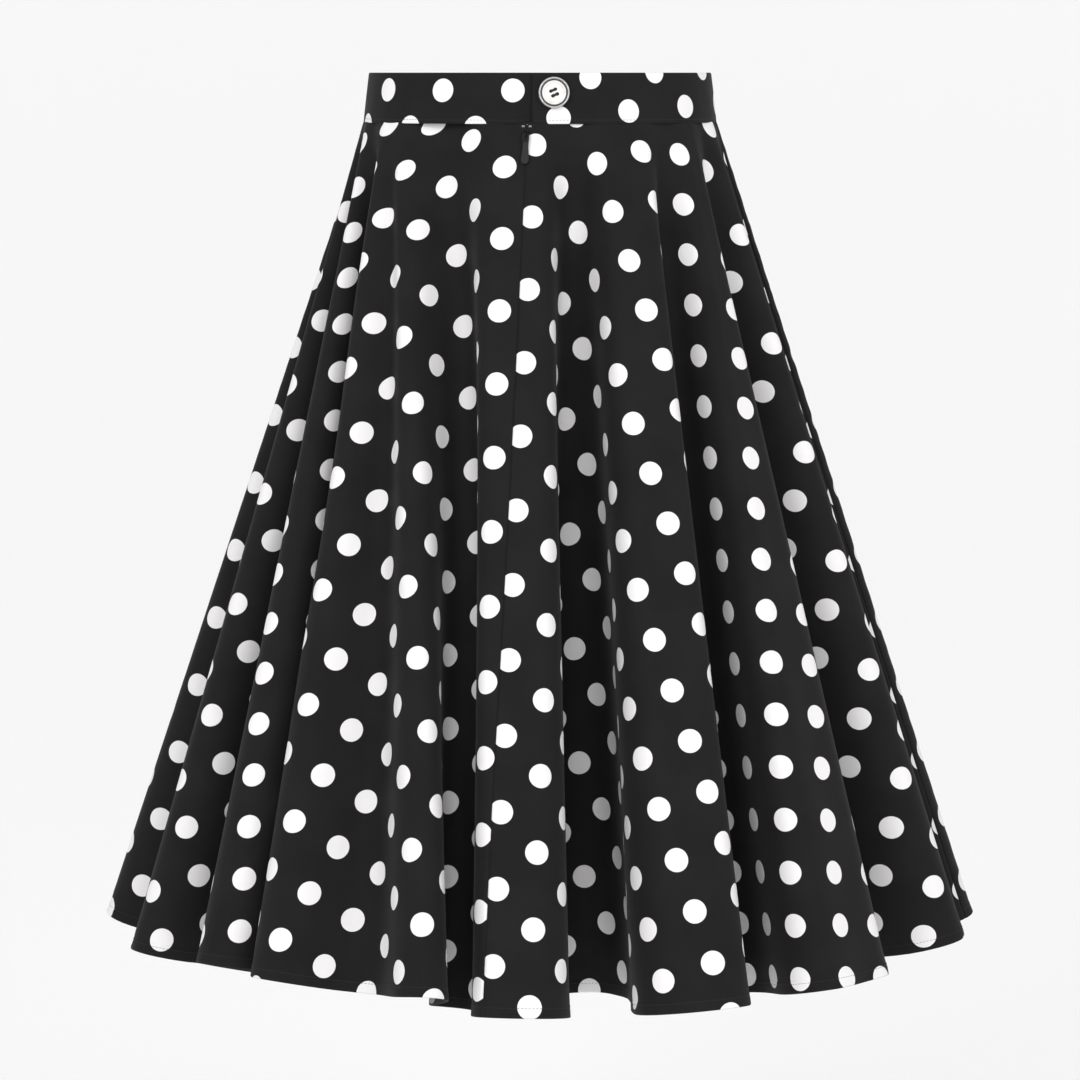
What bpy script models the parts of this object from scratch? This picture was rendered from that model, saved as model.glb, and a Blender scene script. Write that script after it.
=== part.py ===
"""Full-circle midi skirt on a buttoned waistband, in its worn, hollow form.

Metres, +Z up. The centre of the waist seam is the origin, the centre back faces -Y and the
wearer's right is +X. A place on the cut cloth is given by its cut angle, in degrees round the
circle from the centre back seam, positive towards +X, and by its drop, the distance along the
cloth below the waist seam.
"""

from collections import namedtuple

import bmesh
import bpy
import numpy as np
from mathutils import Matrix, Vector

# The waist seam and the waistband above it, as ellipses.
WAIST_HALF_WIDTH = 0.1365
WAIST_HALF_DEPTH = 0.0940
BAND_TOP_HALF_WIDTH = 0.1320
BAND_TOP_HALF_DEPTH = 0.0905
BAND_HEIGHT = 0.038
BAND_WALL = 0.0025
CENTRE_BACK_SHIFT = -0.0098  # along the waist seam, from the middle of the back

# The closing of the waistband: the right end lies over an underlap of the left end.
OVERLAP_END = -0.0060  # along the waist seam, from the middle of the back
UNDERLAP = 0.036
UNDERLAP_DIP = 0.014  # the length over which the left end sinks behind the right one
LAP_CLEARANCE = 0.0008  # the left end has sunk by this far before the right one's edge
BAND_STEP = 0.0085
DIP_STEPS = 5
UNDERLAP_STEPS = 4

# The skirt: a full circle of cloth whose crests hang along straight lines to the hem.
SKIRT_LENGTH = 0.658
HEM_HALF_WIDTH = 0.345
HEM_HALF_DEPTH = 0.300
CLOTH_WALL = 0.0015
SEAM_GAP = 0.0003
EASED_DROP = 0.028  # the fullness of a circle cut is eased in over about this drop

# One row for each crest, all round. Two crests with little cloth between them are the two
# sides of one broad fold. waist_cut and hem_cut are the cut angles where the crest starts and
# ends, and it runs straight on the cut cloth between them. hem_turn is the angle at which it
# hangs at the hem, reach scales its distance from the middle there, lean turns it sideways and
# crisp straightens the walls of the valley that follows it.
Crest = namedtuple("Crest", "waist_cut hem_cut hem_turn reach lean crisp")
CRESTS = [
    Crest(-94.0, -93.5, -87.0, 1.000, 0.0, 0.80),
    Crest(-84.0, -75.5, -64.0, 1.000, -3.0, 0.90),
    Crest(-75.1, -54.0, -46.3, 1.002, -9.4, 0.80),
    Crest(-60.5, -25.0, -35.1, 1.005, 1.8, 0.80),
    Crest(-52.7, -13.6, -14.2, 1.018, -1.7, 0.56),
    Crest(-13.0, 0.6, -5.8, 0.970, -2.8, 0.81),
    Crest(4.7, 2.0, -1.4, 0.966, 2.5, 0.89),
    Crest(29.8, 30.6, 19.2, 0.967, -1.4, 0.80),
    Crest(43.6, 32.8, 24.4, 0.981, 1.1, 0.71),
    Crest(62.8, 52.2, 39.2, 1.001, 1.6, 0.87),
    Crest(65.9, 54.4, 47.8, 0.987, -0.5, 0.76),
    Crest(82.0, 73.9, 71.5, 1.000, 0.0, 0.80),
    Crest(92.5, 91.2, 88.0, 1.000, 0.0, 0.80),
    Crest(112.0, 113.0, 108.0, 0.990, 0.0, 0.70),
    Crest(131.0, 131.0, 130.0, 1.020, 4.0, 1.00),
    Crest(149.0, 154.5, 152.5, 0.990, 0.0, 0.80),
    Crest(164.0, 158.0, 158.5, 1.000, 0.0, 0.80),
    Crest(184.0, 180.0, 180.0, 1.010, -3.0, 0.70),
    Crest(203.0, 201.5, 205.0, 0.990, 0.0, 0.90),
    Crest(222.0, 226.0, 228.0, 1.010, 3.0, 0.80),
    Crest(244.0, 246.0, 252.0, 1.000, 0.0, 0.90),
]

# How finely the cloth is worked out, and how finely its solids are cut.
FOLD_STEPS = 96
FIRST_ANGLE = -93.0
ANGLE_STEP = 0.1
DROP_STEPS = 128
MOST_SWING = 2.2  # radians; a fold that swings further would touch itself
PANEL_COLUMNS = 66  # for each quarter of the circle
BEND_LENGTH = 0.05  # columns crowd into a bend as if each radian of it were this long
EDGE_STRIPS = [0.002, 0.0092]  # the columns beside a seam; up to the first one it lies flat

# The concealed zip in the top of the centre back seam. Its tape starts where the seam closes
# below the slider, and its rows are the panels' own.
ZIP_OPENING = 0.0034
ZIP_TOP = 0.0155
ZIP_END = 0.210
ZIP_COLUMNS = [-0.0085, -0.0021, 0.0, 0.0021, 0.0085]
ZIP_WALL = 0.0012
PANEL_DROPS = [
    SEAM_GAP, 0.005, ZIP_TOP, 0.018, 0.045, 0.085, 0.14, ZIP_END, 0.30, 0.41, 0.53, SKIRT_LENGTH,
]

# The slider, round a point of the cloth's outer face: its body lies behind the seam, a web
# comes out through the opening, and a ring on it holds the pull's bar.
SLIDER_DROP = 0.0095
SLIDER_HALF_HEIGHT = 0.0055
SLIDER_HALF_WIDTH = 0.0036
SLIDER_DEPTH = 0.0030
WEB_HALF_WIDTH = 0.0008
WEB_HALF_HEIGHT = 0.0042
PLATE_HALF_WIDTH = 0.0015
PLATE_FACES = (-0.0016, -0.0006)
RING_RADIUS = 0.0026
RING_WIRE = 0.0006
RING_CENTRE = (-0.0022, 0.0010)  # outwards is negative, then up the cloth
PULL_PIVOT = (-0.0029, 0.0010)

# The pull, a flat teardrop: half widths at distances below its bar, and its window.
PULL_WALL = 0.0012
PULL_TILT = 4.6  # degrees, until its tip rests on the cloth
PULL_OUTLINE = [
    (-0.0007, 0.0018), (0.0002, 0.0025), (0.0038, 0.0026), (0.0084, 0.0022), (0.0132, 0.0025),
    (0.0174, 0.0031), (0.0200, 0.0031), (0.0217, 0.0022), (0.0226, 0.0008),
]
PULL_WINDOW = (0.0006, 0.0058, 0.0015)

# The button, a turned disc with a raised rim, as radii and heights from its middle outwards.
BUTTON_PROFILE = [
    (0.0, 0.0018), (0.0074, 0.0018), (0.0082, 0.0026), (0.0092, 0.0033), (0.0104, 0.0034),
    (0.0113, 0.0027), (0.0116, 0.0016), (0.0108, 0.0004), (0.0090, 0.0), (0.0, 0.0),
]
BUTTON_ARC = 0.0106  # along the waist, from the middle of the back
BUTTON_HEIGHT = 0.0232
BUTTON_STEPS = 40
HOLE_RADIUS = 0.0009
HOLE_SPREAD = 0.0025
HOLE_TURN = 22.0


def ellipse(half_width, half_depth, turn):
    """Points of an ellipse whose turn, in radians, is 0 at the back and grows towards +X."""
    return np.stack([half_width * np.sin(turn), -half_depth * np.cos(turn)], axis=-1)


def ellipse_heading(half_width, half_depth, turn):
    """Direction of the ellipse's tangent there, in radians, unwrapped along the turns."""
    return np.unwrap(np.arctan2(half_depth * np.sin(turn), half_width * np.cos(turn)))


TURNS = np.linspace(-2 * np.pi, 4 * np.pi, 6001)
TURN_POINTS = ellipse(WAIST_HALF_WIDTH, WAIST_HALF_DEPTH, TURNS)
TURN_ARCS = np.concatenate(
    [[0.0], np.cumsum(np.linalg.norm(np.diff(TURN_POINTS, axis=0), axis=1))]
)
TURN_ARCS -= np.interp(0.0, TURNS, TURN_ARCS)
WAIST_LENGTH = np.interp(2 * np.pi, TURNS, TURN_ARCS)
CUT_RADIUS = WAIST_LENGTH / (2 * np.pi)


def waist_turn(arc):
    """Turn of the waist seam's ellipse at a distance along it from the middle of the back."""
    return np.interp(arc, TURN_ARCS, TURNS)


def crest_columns():
    """The crest table as arrays, with its first rows again at the end to close the ring."""
    ring = list(CRESTS)
    for crest in CRESTS[:3]:
        round_again = {name: getattr(crest, name) + 360 for name in ("waist_cut", "hem_cut", "hem_turn")}
        ring.append(crest._replace(**round_again))
    return Crest(*(np.array(column) for column in zip(*ring)))


def cloth_table():
    """The cloth's outer face on a fine grid: cut angles of its columns, then its points.

    Between two crests the section is a wave whose direction swings to one side and back. The
    swing is the one that fits the length of cloth there between the two crests, and the drop
    is measured along the cloth, so a valley hangs lower than a crest.
    """
    crests = crest_columns()
    drops = np.linspace(0.0, SKIRT_LENGTH, DROP_STEPS + 1)
    share_down = (drops / SKIRT_LENGTH)[:, None]

    waist = waist_turn(CENTRE_BACK_SHIFT + CUT_RADIUS * np.radians(crests.waist_cut))
    hem = np.radians(crests.hem_turn)
    top = ellipse(WAIST_HALF_WIDTH, WAIST_HALF_DEPTH, waist)
    foot = ellipse(HEM_HALF_WIDTH, HEM_HALF_DEPTH, hem) * crests.reach[:, None]
    places = top + share_down[..., None] * (foot - top)
    top_heading = ellipse_heading(WAIST_HALF_WIDTH, WAIST_HALF_DEPTH, waist)
    foot_heading = ellipse_heading(HEM_HALF_WIDTH, HEM_HALF_DEPTH, hem) + np.radians(crests.lean)
    headings = top_heading + share_down * (foot_heading - top_heading)

    chords = places[:, 1:] - places[:, :-1]
    spans = np.linalg.norm(chords, axis=-1)
    turning = (headings[:, 1:] - headings[:, :-1])[..., None]
    middle = (np.arange(FOLD_STEPS) + 0.5) / FOLD_STEPS
    crisp = crests.crisp[:-1, None]
    wave = np.tanh(crisp * np.sin(2 * np.pi * middle)) / np.tanh(crisp)
    base = headings[:, :-1, None] + turning * middle

    def reach_of(direction):
        return np.exp(1j * direction).mean(axis=-1)

    smooth = np.abs(reach_of(base))
    nearness = 1 / (CUT_RADIUS + drops[:, None])
    nearness = (nearness - nearness[-1]) / (nearness[0] - nearness[-1])
    cuts = crests.hem_cut + nearness * (crests.waist_cut - crests.hem_cut)
    cloth = np.radians(np.diff(cuts, axis=1)) * (CUT_RADIUS + drops[:, None])
    eased = (drops**2 / (drops**2 + EASED_DROP**2))[:, None] ** 2
    wanted = smooth / (1 + eased * np.maximum(cloth * smooth / spans - 1, 0))
    low = np.zeros_like(wanted)
    high = np.full_like(wanted, MOST_SWING)
    for _ in range(40):
        swing = (low + high) / 2
        short = np.abs(reach_of(base + swing[..., None] * wave)) < wanted
        high = np.where(short, swing, high)
        low = np.where(short, low, swing)
    swing = (low + high) / 2

    bearing = chords[..., 0] + 1j * chords[..., 1]
    drift = np.zeros_like(swing)
    bend = np.sin(np.pi * middle) ** 2
    for _ in range(30):
        direction = base + swing[..., None] * wave + drift[..., None] * bend
        drift += np.angle(bearing / reach_of(direction))
    step = np.exp(1j * (base + swing[..., None] * wave + drift[..., None] * bend))
    step *= (bearing / step.sum(axis=-1))[..., None]

    origins = (places[:, :-1, 0] + 1j * places[:, :-1, 1])[..., None]
    sections = origins + np.cumsum(step, axis=-1) - step
    shares = np.arange(FOLD_STEPS) / FOLD_STEPS
    section_cuts = cuts[:, :-1, None] + np.diff(cuts, axis=1)[..., None] * shares
    angles = np.arange(FIRST_ANGLE, FIRST_ANGLE + 380, ANGLE_STEP)
    plan = np.array([
        np.interp(angles, row_cuts.ravel(), row.real.ravel())
        + 1j * np.interp(angles, row_cuts.ravel(), row.imag.ravel())
        for row_cuts, row in zip(section_cuts, sections)
    ])
    fall = SKIRT_LENGTH / DROP_STEPS
    slide = np.minimum(np.abs(np.diff(plan, axis=0)), 0.95 * fall)
    height = np.zeros(plan.shape)
    height[1:] = -np.cumsum(np.sqrt(fall**2 - slide**2), axis=0)
    return angles, np.stack([plan.real, plan.imag, height], axis=-1)


CLOTH_ANGLES, CLOTH_POINTS = cloth_table()


def cloth_points(angle_rows, drops):
    """Points of the cloth's outer face: for each drop, a row of cut angles in degrees."""
    rows = []
    for angles, drop in zip(angle_rows, drops):
        place = np.clip(drop / SKIRT_LENGTH, 0, 1) * DROP_STEPS
        above = min(int(place), DROP_STEPS - 1)
        section = CLOTH_POINTS[above] + (place - above) * (CLOTH_POINTS[above + 1] - CLOTH_POINTS[above])
        rows.append([np.interp(angles, CLOTH_ANGLES, section[:, axis]) for axis in range(3)])
    return np.array(rows).transpose(0, 2, 1)


def cloth_frame(angle, drop):
    """Matrix at a place on the cloth: X along the waist, Z up the cloth and -Y outwards."""
    step = 0.002
    sideways = np.degrees(step / (CUT_RADIUS + drop))
    left, here, right = cloth_points([[angle - sideways, angle, angle + sideways]], [drop])[0]
    above = cloth_points([[angle]], [max(drop - step, 0)])[0, 0]
    below = cloth_points([[angle]], [drop + step])[0, 0]
    across = Vector(right - left).normalized()
    inwards = Vector(above - below).cross(across).normalized()
    return Matrix.Translation(here) @ Matrix((across, inwards, across.cross(inwards))).transposed().to_4x4()


def start_scene():
    """An empty scene with one collection for the skirt and one for what cuts it."""
    for old in list(bpy.data.objects):
        bpy.data.objects.remove(old, do_unlink=True)
    made = []
    for name in ("midi_skirt", "cutters"):
        collection = bpy.data.collections.new(name)
        bpy.context.scene.collection.children.link(collection)
        made.append(collection)
    return made


def finish_of(name, colour, roughness, metallic=0.0):
    """A plain material."""
    material = bpy.data.materials.new(name)
    material.use_nodes = True
    shader = material.node_tree.nodes["Principled BSDF"]
    shader.inputs["Base Color"].default_value = (*colour, 1.0)
    shader.inputs["Roughness"].default_value = roughness
    shader.inputs["Metallic"].default_value = metallic
    return material


def object_of(name, data, material, collection, place=None):
    """A named object with its material, at a place given by a matrix."""
    item = bpy.data.objects.new(name, data)
    if material:
        data.materials.append(material)
    if place:
        item.matrix_world = place
    collection.objects.link(item)
    return item


def sheet_mesh(name, points):
    """A sheet of faces through rows of points: each row runs towards +X, rows run down."""
    rows, columns = points.shape[:2]
    corners = np.arange(rows * columns).reshape(rows, columns)
    faces = np.stack(
        [corners[:-1, :-1], corners[1:, :-1], corners[1:, 1:], corners[:-1, 1:]], axis=-1
    )
    mesh = bpy.data.meshes.new(name)
    mesh.from_pydata(points.reshape(-1, 3).tolist(), [], faces.reshape(-1, 4).tolist())
    mesh.shade_smooth()
    return mesh


def make_wall(item, thickness, side=-1.0):
    """The sheet becomes a wall, its thickness on the inner side or, at 0, on both."""
    solidify = item.modifiers.new("wall", "SOLIDIFY")
    solidify.thickness = thickness
    solidify.offset = side
    solidify.use_even_offset = True


def spread_angles(start, end, drop, columns):
    """Cut angles of a row's columns, even along the cloth but closer together in its bends."""
    angles = np.arange(start, end, 0.25)
    path = cloth_points([angles], [drop])[0, :, :2]
    steps = np.diff(path, axis=0)
    heading = np.unwrap(np.arctan2(steps[:, 1], steps[:, 0]))
    turning = np.abs(np.gradient(heading))
    measure = np.concatenate([[0.0], np.cumsum(np.linalg.norm(steps, axis=1) + BEND_LENGTH * turning)])
    return np.interp(np.linspace(0, measure[-1], columns + 1), measure, angles)


def add_panel(name, start, end, zip_edges, material, collection):
    """One skirt panel between two seams, given by their cut angles."""
    columns = int(round(PANEL_COLUMNS * (end - start) / 90))
    rows = []
    for drop in PANEL_DROPS:
        strips = np.degrees(np.array(EDGE_STRIPS) / (CUT_RADIUS + drop))
        inner = spread_angles(start + strips[1], end - strips[1], drop, columns)
        rows.append(np.concatenate([[start + strips[0]], inner, [end - strips[0]]]))
    points = cloth_points(rows, PANEL_DROPS)
    edges = []
    for seam, at_zip, side in ((start, zip_edges[0], 1), (end, zip_edges[1], -1)):
        beside = [np.degrees(EDGE_STRIPS[0] / (CUT_RADIUS + drop)) for drop in PANEL_DROPS]
        across = cloth_points([[seam - turn, seam + turn] for turn in beside], PANEL_DROPS)
        gaps = np.array([ZIP_OPENING if at_zip and drop <= ZIP_TOP else SEAM_GAP for drop in PANEL_DROPS])
        share = 0.5 + side * gaps / (4 * EDGE_STRIPS[0])
        edges.append(across[:, :1] + share[:, None, None] * (across[:, 1:] - across[:, :1]))
    mesh = sheet_mesh(name, np.concatenate([edges[0], points, edges[1]], axis=1))
    make_wall(object_of(name, mesh, material, collection), CLOTH_WALL)


def add_zip(material, collection):
    """The tape and its closed coil, along the inner side of the centre back seam."""
    rows = []
    for drop in PANEL_DROPS:
        if ZIP_TOP <= drop <= ZIP_END:
            frames = [cloth_frame(np.degrees(arc / (CUT_RADIUS + drop)), drop) for arc in ZIP_COLUMNS]
            rows.append([frame @ Vector((0, CLOTH_WALL + 2 * SEAM_GAP, 0)) for frame in frames])
    item = object_of("zip", sheet_mesh("zip", np.array(rows)), material, collection)
    make_wall(item, ZIP_WALL)


def band_point(arc, height, inset=0.0):
    """A point of the waistband's outer face, at a distance along the waist seam."""
    turn = waist_turn(arc % WAIST_LENGTH)
    share = height / BAND_HEIGHT
    wide = WAIST_HALF_WIDTH + share * (BAND_TOP_HALF_WIDTH - WAIST_HALF_WIDTH)
    deep = WAIST_HALF_DEPTH + share * (BAND_TOP_HALF_DEPTH - WAIST_HALF_DEPTH)
    inwards = Vector((-deep * np.sin(turn), wide * np.cos(turn), 0)).normalized()
    return Vector((*ellipse(wide, deep, turn), height)) + inwards * float(inset)


def add_waistband(material, collection):
    """One strip from the overlap's end all round and on behind the overlap."""
    lap_start = OVERLAP_END + WAIST_LENGTH
    whole_steps = int(round((WAIST_LENGTH - UNDERLAP_DIP) / BAND_STEP))
    arcs = np.concatenate([
        np.linspace(OVERLAP_END, lap_start - UNDERLAP_DIP, whole_steps + 1),
        lap_start - UNDERLAP_DIP + UNDERLAP_DIP * np.linspace(0, 1, DIP_STEPS + 1)[1:] - LAP_CLEARANCE,
        np.linspace(lap_start, lap_start + UNDERLAP, UNDERLAP_STEPS + 1)[1:],
    ])
    share = np.clip((arcs - lap_start + UNDERLAP_DIP) / (UNDERLAP_DIP - LAP_CLEARANCE), 0, 1)
    insets = (BAND_WALL + SEAM_GAP) * share * share * (3 - 2 * share)
    heights = [BAND_HEIGHT, BAND_HEIGHT / 2, SEAM_GAP / 2]
    rows = [[band_point(arc, height, inset) for arc, inset in zip(arcs, insets)] for height in heights]
    mesh = sheet_mesh("waistband", np.array(rows))
    make_wall(object_of("waistband", mesh, material, collection), BAND_WALL)


def box_mesh(name, low, high):
    """A box between two corners."""
    shape = bmesh.new()
    bmesh.ops.create_cube(shape, size=1.0)
    middle = (Vector(low) + Vector(high)) / 2
    size = Vector(high) - Vector(low)
    place = Matrix.Translation(middle) @ Matrix.Diagonal((*size, 1))
    bmesh.ops.transform(shape, matrix=place, verts=shape.verts)
    mesh = bpy.data.meshes.new(name)
    shape.to_mesh(mesh)
    shape.free()
    return mesh


def combine(item, other, operation):
    """A Boolean of the item with a hidden helper."""
    other.hide_render = True
    other.display_type = "WIRE"
    boolean = item.modifiers.new(other.name, "BOOLEAN")
    boolean.operation = operation
    boolean.solver = "EXACT"
    boolean.object = other


def add_slider(place, material, collection, cutters):
    """Body behind the seam, web through its opening, and the ring that holds the pull."""
    inner = CLOTH_WALL + 2 * SEAM_GAP
    body = box_mesh(
        "zip_slider",
        (-SLIDER_HALF_WIDTH, inner, -SLIDER_HALF_HEIGHT),
        (SLIDER_HALF_WIDTH, inner + SLIDER_DEPTH, SLIDER_HALF_HEIGHT),
    )
    item = object_of("zip_slider", body, material, collection, place)
    web = box_mesh(
        "slider_web",
        (-WEB_HALF_WIDTH, PLATE_FACES[0] / 2, -WEB_HALF_HEIGHT),
        (WEB_HALF_WIDTH, inner + SLIDER_DEPTH / 2, WEB_HALF_HEIGHT),
    )
    plate = box_mesh(
        "slider_plate",
        (-PLATE_HALF_WIDTH, PLATE_FACES[0], -WEB_HALF_HEIGHT),
        (PLATE_HALF_WIDTH, PLATE_FACES[1], WEB_HALF_HEIGHT),
    )
    for mesh in (web, plate):
        combine(item, object_of(mesh.name, mesh, None, cutters, place), "UNION")
    bpy.ops.mesh.primitive_torus_add(
        major_radius=RING_RADIUS, minor_radius=RING_WIRE, major_segments=20, minor_segments=8
    )
    ring = bpy.context.object
    ring.name = "slider_ring"
    for used in list(ring.users_collection):
        used.objects.unlink(ring)
    cutters.objects.link(ring)
    ring.matrix_world = place @ Matrix.Translation((0, *RING_CENTRE)) @ Matrix.Rotation(np.pi / 2, 4, "Y")
    combine(item, ring, "UNION")


def add_pull(place, material, collection, cutters):
    """The pull tab, whose bar passes through the slider's ring."""
    right = [(half, 0, -below) for below, half in PULL_OUTLINE]
    left = [(-half, 0, -below) for below, half in reversed(PULL_OUTLINE)]
    mesh = bpy.data.meshes.new("zip_pull")
    mesh.from_pydata(right + left, [], [range(len(right + left))])
    hung = place @ Matrix.Translation((0, *PULL_PIVOT)) @ Matrix.Rotation(np.radians(PULL_TILT), 4, "X")
    item = object_of("zip_pull", mesh, material, collection, hung)
    make_wall(item, PULL_WALL, 0.0)
    top, bottom, half = PULL_WINDOW
    window = box_mesh("pull_window", (-half, -PULL_WALL, -bottom), (half, PULL_WALL, -top))
    combine(item, object_of("pull_window", window, None, cutters, hung), "DIFFERENCE")


def add_button(material, collection, cutters):
    """The button on the overlap, with four holes."""
    right, left = (band_point(BUTTON_ARC + step, BUTTON_HEIGHT) for step in (0.001, -0.001))
    above, below = (band_point(BUTTON_ARC, BUTTON_HEIGHT + step) for step in (0.001, -0.001))
    across = (right - left).normalized()
    up = above - below
    outwards = across.cross(up).normalized()
    centre = band_point(BUTTON_ARC, BUTTON_HEIGHT) + (SEAM_GAP + 0.0001) * outwards
    axes = Matrix((across, outwards.cross(across), outwards)).transposed().to_4x4()
    place = Matrix.Translation(centre) @ axes @ Matrix.Rotation(np.radians(HOLE_TURN), 4, "Z")
    mesh = bpy.data.meshes.new("button")
    edges = [(i, i + 1) for i in range(len(BUTTON_PROFILE) - 1)]
    mesh.from_pydata([(radius, 0, height) for radius, height in BUTTON_PROFILE], edges, [])
    item = object_of("button", mesh, material, collection, place)
    screw = item.modifiers.new("turned", "SCREW")
    screw.axis = "Z"
    screw.steps = BUTTON_STEPS
    screw.render_steps = BUTTON_STEPS
    screw.use_merge_vertices = True
    screw.merge_threshold = 0.00001
    for hole in range(4):
        turn = np.pi / 4 + hole * np.pi / 2
        shape = bmesh.new()
        bmesh.ops.create_cone(
            shape, cap_ends=True, segments=12, radius1=HOLE_RADIUS, radius2=HOLE_RADIUS, depth=0.01
        )
        mesh = bpy.data.meshes.new(f"button_hole_{hole + 1}")
        shape.to_mesh(mesh)
        shape.free()
        shift = Matrix.Translation((HOLE_SPREAD * np.cos(turn), HOLE_SPREAD * np.sin(turn), 0))
        combine(item, object_of(mesh.name, mesh, None, cutters, place @ shift), "DIFFERENCE")


def main():
    collection, cutters = start_scene()
    cloth = finish_of("dotted_cotton", (0.020, 0.019, 0.021), 0.85)
    tape = finish_of("zip_tape", (0.012, 0.012, 0.013), 0.8)
    metal = finish_of("black_lacquered_metal", (0.015, 0.015, 0.016), 0.35, 0.6)
    resin = finish_of("button_resin", (0.78, 0.75, 0.70), 0.3)
    add_panel("skirt_back_left", -90.0, 0.0, (False, True), cloth, collection)
    add_panel("skirt_back_right", 0.0, 90.0, (True, False), cloth, collection)
    add_panel("skirt_front", 90.0, 270.0, (False, False), cloth, collection)
    add_waistband(cloth, collection)
    add_zip(tape, collection)
    place = cloth_frame(0.0, SLIDER_DROP)
    add_slider(place, metal, collection, cutters)
    add_pull(place, metal, collection, cutters)
    add_button(resin, collection, cutters)


main()
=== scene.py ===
import bmesh
import bpy
import numpy as np
from mathutils import Matrix, Vector


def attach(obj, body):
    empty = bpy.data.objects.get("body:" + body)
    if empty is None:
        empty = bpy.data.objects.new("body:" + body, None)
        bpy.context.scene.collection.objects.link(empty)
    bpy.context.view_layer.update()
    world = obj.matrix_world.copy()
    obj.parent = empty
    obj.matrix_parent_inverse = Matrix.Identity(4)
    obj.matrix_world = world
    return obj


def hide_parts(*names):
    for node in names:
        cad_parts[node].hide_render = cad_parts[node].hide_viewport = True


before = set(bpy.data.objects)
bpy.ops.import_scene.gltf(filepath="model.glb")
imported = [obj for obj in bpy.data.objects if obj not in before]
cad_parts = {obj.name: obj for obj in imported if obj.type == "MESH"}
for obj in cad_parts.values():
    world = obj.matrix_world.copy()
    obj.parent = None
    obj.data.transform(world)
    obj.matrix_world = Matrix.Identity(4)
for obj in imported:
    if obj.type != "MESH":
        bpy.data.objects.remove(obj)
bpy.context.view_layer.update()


# The skirt is a full circle of cotton poplin: a half circle in front and two quarter circles
# behind, hung from the waist seam. A place on it is a cut angle, in degrees round the circle
# from the centre back seam and positive towards +X, and a drop along the cloth.
WAIST_HALF_WIDTH = 0.1365
WAIST_HALF_DEPTH = 0.0940
CENTRE_BACK_SHIFT = -0.0098
SKIRT_LENGTH = 0.658
HEM_HALF_WIDTH = 0.345
HEM_HALF_DEPTH = 0.300
EASED_DROP = 0.028
FOLD_STEPS = 96
FIRST_ANGLE = -93.0
ANGLE_STEP = 0.1
DROP_STEPS = 128
MOST_SWING = 2.2

# Crests all round: the cut angle at the waist and at the hem, the angle where it hangs at the
# hem, its reach there, its lean, and how straight the walls of the next valley are.
CRESTS = np.array([
    (-94.0, -93.5, -87.0, 1.000, 0.0, 0.80),
    (-84.0, -75.5, -64.0, 1.000, -3.0, 0.90),
    (-75.1, -54.0, -46.3, 1.002, -9.4, 0.80),
    (-60.5, -25.0, -35.1, 1.005, 1.8, 0.80),
    (-52.7, -13.6, -14.2, 1.018, -1.7, 0.56),
    (-13.0, 0.6, -5.8, 0.970, -2.8, 0.81),
    (4.7, 2.0, -1.4, 0.966, 2.5, 0.89),
    (29.8, 30.6, 19.2, 0.967, -1.4, 0.80),
    (43.6, 32.8, 24.4, 0.981, 1.1, 0.71),
    (62.8, 52.2, 39.2, 1.001, 1.6, 0.87),
    (65.9, 54.4, 47.8, 0.987, -0.5, 0.76),
    (82.0, 73.9, 71.5, 1.000, 0.0, 0.80),
    (92.5, 91.2, 88.0, 1.000, 0.0, 0.80),
    (112.0, 113.0, 108.0, 0.990, 0.0, 0.70),
    (131.0, 131.0, 130.0, 1.020, 4.0, 1.00),
    (149.0, 154.5, 152.5, 0.990, 0.0, 0.80),
    (164.0, 158.0, 158.5, 1.000, 0.0, 0.80),
    (184.0, 180.0, 180.0, 1.010, -3.0, 0.70),
    (203.0, 201.5, 205.0, 0.990, 0.0, 0.90),
    (222.0, 226.0, 228.0, 1.010, 3.0, 0.80),
    (244.0, 246.0, 252.0, 1.000, 0.0, 0.90),
])


def ellipse(half_width, half_depth, turn):
    """Points of an ellipse whose turn is 0 at the back and grows towards +X."""
    return np.stack([half_width * np.sin(turn), -half_depth * np.cos(turn)], axis=-1)


def ellipse_heading(half_width, half_depth, turn):
    """Direction of the ellipse there, in radians."""
    return np.unwrap(np.arctan2(half_depth * np.sin(turn), half_width * np.cos(turn)))


TURNS = np.linspace(-2 * np.pi, 4 * np.pi, 6001)
TURN_STEPS = np.diff(ellipse(WAIST_HALF_WIDTH, WAIST_HALF_DEPTH, TURNS), axis=0)
TURN_ARCS = np.concatenate([[0.0], np.cumsum(np.linalg.norm(TURN_STEPS, axis=1))])
TURN_ARCS -= np.interp(0.0, TURNS, TURN_ARCS)
WAIST_LENGTH = np.interp(2 * np.pi, TURNS, TURN_ARCS)
CUT_RADIUS = WAIST_LENGTH / (2 * np.pi)


def waist_turn(arc):
    """Turn of the waist seam at a distance along it from the middle of the back."""
    return np.interp(arc, TURN_ARCS, TURNS)


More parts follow.
